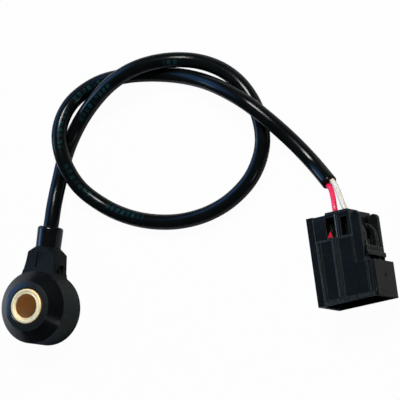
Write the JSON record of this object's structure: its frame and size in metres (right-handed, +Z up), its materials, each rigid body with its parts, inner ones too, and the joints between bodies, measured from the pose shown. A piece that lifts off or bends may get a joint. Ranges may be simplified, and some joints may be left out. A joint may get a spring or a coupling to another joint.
{
  "type": "engine knock sensor",
  "caption": "Ring-shaped engine knock sensor clamped under a bolt, with a square neck, a knotted cable and a latching rectangular plug.",
  "frame": {"origin": "middle of the sensor head's underside, taken as the bottom centre of its bounding box without the cable and the plug", "axes": "+Z up along the bolt's bore, from the contact face to the bolt's seat; +Y along the neck, towards the boot that the cable leaves"},
  "size_m": [0.1551, 0.111, 0.0172],
  "materials": {
    "head_plastic": "satin black, slightly glossy moulding",
    "plug_plastic": "satin black moulding",
    "cable_jacket": "smooth, glossy black jacket",
    "red_insulation": "smooth bright red insulation",
    "white_insulation": "smooth off-white insulation",
    "brass": "turned, pale gold",
    "steel": "turned or stamped steel",
    "contact_metal": "stamped contact sheet",
    "terminal_metal": "tin-plated sheet",
    "piezo_ceramic": "dull pale ceramic",
    "insulating_film": "amber insulating film"
  },
  "bodies": {
    "root": {"sensor_overmould": "head_plastic", "mounting_bush": "brass", "insulating_sleeve": "insulating_film", "lower_insulator": "insulating_film", "lower_contact_disc": "contact_metal", "piezo_ring": "piezo_ceramic", "upper_contact_disc": "contact_metal", "upper_insulator": "insulating_film", "seismic_mass": "steel", "disc_spring": "steel", "ring_nut": "steel", "red_lead": "red_insulation", "white_lead": "white_insulation", "cable_jacket": "cable_jacket", "red_wire": "red_insulation", "white_wire": "white_insulation", "connector_housing": "plug_plastic", "red_terminal": "terminal_metal", "white_terminal": "terminal_metal"}
  },
  "joints": []
}
